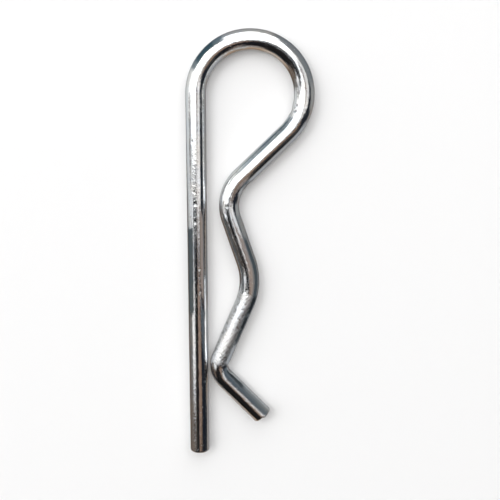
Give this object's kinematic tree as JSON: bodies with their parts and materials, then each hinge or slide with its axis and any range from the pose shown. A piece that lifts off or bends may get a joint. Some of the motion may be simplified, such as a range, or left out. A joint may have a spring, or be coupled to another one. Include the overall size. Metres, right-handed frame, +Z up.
{
  "type": "hairpin cotter pin",
  "caption": "Hairpin cotter of bent round steel wire: a straight leg, a round loop and a wavy spring leg with a flared end, zinc plated.",
  "frame": {"origin": "on the straight leg's axis, level with the belly's crest: the point where the axis of the held shaft crosses the leg", "axes": "+Y along the straight leg towards the loop, +X from the straight leg to the wavy leg, +Z up, square to the flat plane that the wire is bent in and along the held shaft"},
  "size_m": [0.0219, 0.0765, 0.0036],
  "materials": {
    "zinc_plate": "bright clear zinc plate with a faint blue cast and fine lengthwise drawing lines"
  },
  "bodies": {
    "root": {"r_clip": "zinc_plate"}
  },
  "joints": []
}
